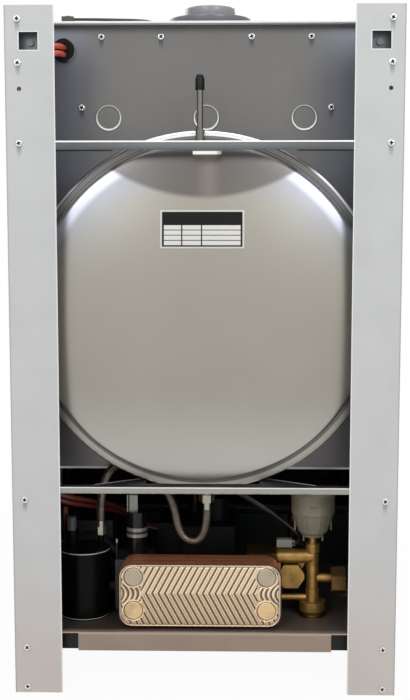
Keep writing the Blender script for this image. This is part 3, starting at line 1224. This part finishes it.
class BOILER_OT_actuator(bpy.types.Operator):
    """Build the diverter's motor housing with its slot, arch, ribs, clips and legs"""
    bl_idname = "boiler.actuator"
    bl_label = "Diverter motor"

    def execute(self, context):
        profile = rounded(MOTOR_PROFILE, 4)
        fine = []
        for here, there in zip(profile[:-1], profile[1:]):
            steps = max(1, int(np.linalg.norm(there - here) / 0.7))
            fine.append(here + (there - here) * np.linspace(0, 1, steps, endpoint=False)[:, None])
        profile = np.concatenate(fine + [profile[-1:]])
        angle = np.linspace(-math.pi, math.pi, 180, endpoint=False)[None, :]
        radius, height = profile[:, :1], profile[:, 1:]
        outside = (radius > 12.0) & (height < 204.5)
        aside = np.abs(angle - math.pi / 2) * 20.0
        slot = gate(aside, -1, 3.6, 0.15) * gate(height, 190.4, 191.9, 0.12)
        arch_height = 194.6 - 0.05 * aside ** 2
        arch = gate(aside, -1, 8.5, 0.3) * gate(height, arch_height - 0.5, arch_height + 0.5, 0.15)
        window = gate(aside, -1, 4.6, 0.25) * gate(height, 183.5, 188.0, 0.3)
        ribs = gate(height, 165.0, 180.0, 0.6) * np.maximum(np.cos(10 * angle), 0) ** 6
        radius = radius + outside * (-1.6 * slot + 0.5 * arch - 0.5 * window + 0.6 * ribs)
        points = np.stack([MOTOR_X + radius * np.cos(angle), MOTOR_Y + radius * np.sin(angle),
                           np.broadcast_to(height, radius.shape)], axis=2) * MM
        plastic = finish("Actuator plastic", "actuator", "grain", 30, (0.42, 0.52), 0.0, 0.85, 0.3)
        add_piece("actuator_housing", surface("actuator_housing", points), "casing",
                  plastic, "diverter_motor")
        spans = []
        for side in (-1, 1):
            x = MOTOR_X + side * 19.6
            spans.append(((x - 0.9, x + 0.9), (-62.5, -57.5), (162.0, 183.5)))
            leg = MOTOR_X + side * 10.2
            spans.append(((leg - 0.8, leg + 0.8), (-56.5, -55.1), (150.5, 160.0)))
        boxes("actuator_clips", spans, 0.4, plastic)
        return {"FINISHED"}


class BOILER_OT_combustion(bpy.types.Operator):
    """Finish the parts inside the sealed chamber"""
    bl_idname = "boiler.combustion"
    bl_label = "Combustion finishes"

    def execute(self, context):
        dress_parts(COMBUSTION_PARTS)
        return {"FINISHED"}


def round_oblong(x_span, z_span, radius, corner):
    """Points round an oblong in X and Z whose corners are arcs of a radius, the first towards +X.

    Each corner walks the quarter turn `corner`, started at 0, 1, 2 and 3 quarters of a turn.
    """
    points = []
    for index, (side, up) in enumerate(((1, 1), (0, 1), (0, 0), (1, 0))):
        turn = corner + index * 0.5 * math.pi
        middle = (x_span[side] - (2 * side - 1) * radius, z_span[up] - (2 * up - 1) * radius)
        points.append(np.array(middle) + radius * np.stack([np.cos(turn), np.sin(turn)], axis=1))
    return np.concatenate(points)


class BOILER_OT_front_cover(bpy.types.Operator):
    """Build the front cover with its drawn round edges"""
    bl_idname = "boiler.front_cover"
    bl_label = "Front cover"

    def execute(self, context):
        low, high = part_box("front_cover")
        edge = sizes().cover_corner
        quarter = np.linspace(0, math.pi / 2, 9)
        rings = [(0.0, high.y), (0.0, low.y + edge)]
        rings += [(edge * (1 - math.cos(turn)), low.y + edge * (1 - math.sin(turn))) for turn in quarter[1:]]
        rings += [(inset, low.y) for inset in COVER_FACE_RINGS]
        inside = [(max(inset, COVER_GAUGE), y + COVER_GAUGE) for inset, y in rings[::-1]]
        inside[-1] = (COVER_GAUGE, high.y)
        rows = []
        for inset, y in rings + inside:
            outline = round_oblong((low.x + inset, high.x - inset), (low.z + inset, high.z - inset),
                                   max(edge - inset, COVER_LEAST_CORNER), quarter)
            rows.append(np.stack([outline[:, 0], np.full(len(outline), y), outline[:, 1]], axis=1))
        columns = rows[0].shape[0]
        outer = len(rings)
        faces = [face for face in grid_faces(len(rows), columns, wrap_columns=True).tolist()
                 if not (face[0] // columns == outer - 1 and face[2] // columns == outer)]
        faces += [list(range(row * columns, (row + 1) * columns)) for row in (outer - 1, outer)]
        last = (len(rows) - 1) * columns
        for index in range(columns):
            after = (index + 1) % columns
            faces.append([index, after, last + after, last + index])
        mesh = bpy.data.meshes.new("cover_shell")
        mesh.from_pydata(np.concatenate(rows), [], faces)
        close_up(mesh)
        coat = finish("Cover coat", "cover", "grain", 20, (0.3, 0.38), 0.0, 0.96, 0.05, lining_overlay)
        shell = add_piece("cover_shell", mesh, "front_cover", coat, "front_cover")
        shell.modifiers.new("Crisp flats", "WEIGHTED_NORMAL").keep_sharp = True
        return {"FINISHED"}


class BOILER_OT_controls(bpy.types.Operator):
    """Finish the control panel, its knobs, button, board and gauge"""
    bl_idname = "boiler.controls"
    bl_label = "Controls"

    def execute(self, context):
        dress_parts(CONTROLS_PARTS)
        return {"FINISHED"}


CAMERA_PLACE = Vector((-0.02584, 1.150, 0.48594))
CAMERA_YAW = math.radians(1.255)
CAMERA_PITCH = math.radians(5.992)
CAMERA_LENS = 58.148
FLOOR_HALF, FLOOR_LEVEL = 30.0, -0.001
WHITE_LIGHT, REAR_LIGHT = (1.0, 1.0, 1.0), (0.90, 0.945, 1.0)
# Name, place, aim, width, power and colour.
LAMPS = (
    ("Rear lamp right", (0.95, 1.8, 1.45), (0, 0, 0.45), 0.8, 10.5, REAR_LIGHT),
    ("Rear lamp left", (-0.95, 1.8, 1.45), (0, 0, 0.45), 0.8, 13.0, REAR_LIGHT),
    ("Top lamp", (0.0, 0.5, 2.2), (0, -0.1, 0.5), 1.2, 10.0, WHITE_LIGHT),
    ("Front key", (-1.4, -2.3, 1.6), (0, -0.2, 0.35), 1.4, 26.0, WHITE_LIGHT),
    ("Front fill", (1.7, -2.0, 1.0), (0, -0.2, 0.35), 1.4, 16.0, WHITE_LIGHT),
)


class BOILER_OT_stage(bpy.types.Operator):
    """Set the floor, the soft lamps, the white surroundings and the camera"""
    bl_idname = "boiler.stage"
    bl_label = "Stage, lamps and camera"

    @staticmethod
    def seen_white(recipe, share, plain, white):
        """The plain shader for light, and a share of white for the camera, gloss and glass."""
        rays = recipe.node("ShaderNodeLightPath").outputs
        shown = recipe.most(rays["Is Camera Ray"], rays["Is Glossy Ray"], rays["Is Transmission Ray"])
        mixed = recipe.node("ShaderNodeMixShader")
        recipe.feed(mixed.inputs[0], recipe.times(shown, share))
        recipe.feed(mixed.inputs[1], plain)
        recipe.feed(mixed.inputs[2], white)
        return mixed.outputs[0]

    def execute(self, context):
        scene = context.scene
        scene.view_settings.view_transform = "Standard"
        ends = (-FLOOR_HALF, FLOOR_HALF)
        corners = np.array([[(x, y, FLOOR_LEVEL) for x in ends] for y in ends])
        floor_mesh = surface("floor", corners, wrap_columns=False)
        floor = bpy.data.objects.new("floor", floor_mesh)
        scene.collection.objects.link(floor)
        material = bpy.data.materials.new("Pale floor")
        material.use_nodes = True
        recipe = Recipe(material.node_tree)
        shader = recipe.fill(material.node_tree.nodes["Principled BSDF"], Base_Color=(0.86, 0.86, 0.86, 1.0),
                             Roughness=0.8)
        bright = recipe.fill(recipe.node("ShaderNodeEmission"), Strength=1.0)
        far = recipe.between(recipe.vector("DISTANCE", recipe.here(), (0.0, 0.0, 0.0)), 0.4, 1.8, 0.955, 1.0)
        recipe.feed(material.node_tree.nodes["Material Output"].inputs["Surface"],
                    self.seen_white(recipe, far, shader.outputs[0], bright.outputs[0]))
        floor_mesh.materials.append(material)

        world = bpy.data.worlds.new("Pale room")
        world.use_nodes = True
        scene.world = world
        recipe = Recipe(world.node_tree)
        nodes = world.node_tree.nodes
        white = (1.0, 1.0, 1.0, 1.0)
        room = recipe.fill(nodes["Background"], Color=white, Strength=0.30)
        seen = recipe.fill(recipe.node("ShaderNodeBackground"), Color=white, Strength=1.0)
        recipe.feed(nodes["World Output"].inputs["Surface"],
                    self.seen_white(recipe, 1.0, room.outputs[0], seen.outputs[0]))

        for name, place, aim, width, power, colour in LAMPS:
            lamp = bpy.data.lights.new(name, "AREA")
            lamp.shape = "SQUARE"
            lamp.size = width
            lamp.energy = power
            lamp.color = colour
            holder = bpy.data.objects.new(name, lamp)
            holder.location = place
            holder.rotation_euler = (Vector(aim) - Vector(place)).to_track_quat("-Z", "Y").to_euler()
            scene.collection.objects.link(holder)

        lens = bpy.data.cameras.new("Photo camera")
        lens.sensor_fit = "VERTICAL"
        lens.sensor_height = 36.0
        lens.lens = CAMERA_LENS
        lens.clip_start = 0.05
        camera = bpy.data.objects.new("Photo camera", lens)
        camera.location = CAMERA_PLACE
        ahead = Vector((math.sin(CAMERA_YAW) * math.cos(CAMERA_PITCH),
                        -math.cos(CAMERA_YAW) * math.cos(CAMERA_PITCH), -math.sin(CAMERA_PITCH)))
        camera.rotation_euler = ahead.to_track_quat("-Z", "Y").to_euler()
        scene.collection.objects.link(camera)
        scene.camera = camera
        return {"FINISHED"}


STEPS = (BOILER_OT_stage, BOILER_OT_casing, BOILER_OT_vessel, BOILER_OT_plate_exchanger, BOILER_OT_screws,
         BOILER_OT_hose, BOILER_OT_leads, BOILER_OT_hydraulics, BOILER_OT_actuator, BOILER_OT_combustion,
         BOILER_OT_front_cover, BOILER_OT_controls)


class BOILER_PT_pieces(bpy.types.Panel):
    """Lists the pieces and finishes of the boiler"""
    bl_idname = "BOILER_PT_pieces"
    bl_label = "Wall-hung boiler"
    bl_space_type = "VIEW_3D"
    bl_region_type = "UI"
    bl_category = "Boiler"

    def draw(self, context):
        for step in STEPS:
            self.layout.operator(step.bl_idname)
        for settings in (context.scene.boiler_sizes, context.scene.boiler_colours):
            column = self.layout.column()
            for name in settings.__annotations__:
                column.prop(settings, name)


CLASSES = (BoilerColours, BoilerSizes, *STEPS, BOILER_PT_pieces)


def register():
    for item in CLASSES:
        bpy.utils.register_class(item)
    bpy.types.Scene.boiler_colours = PointerProperty(type=BoilerColours)
    bpy.types.Scene.boiler_sizes = PointerProperty(type=BoilerSizes)


def unregister():
    del bpy.types.Scene.boiler_sizes
    del bpy.types.Scene.boiler_colours
    for item in reversed(CLASSES):
        bpy.utils.unregister_class(item)


def main():
    """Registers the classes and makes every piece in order."""
    register()
    for step in STEPS:
        group, name = step.bl_idname.split(".")
        getattr(getattr(bpy.ops, group), name)()


if __name__ == "__main__":
    main()
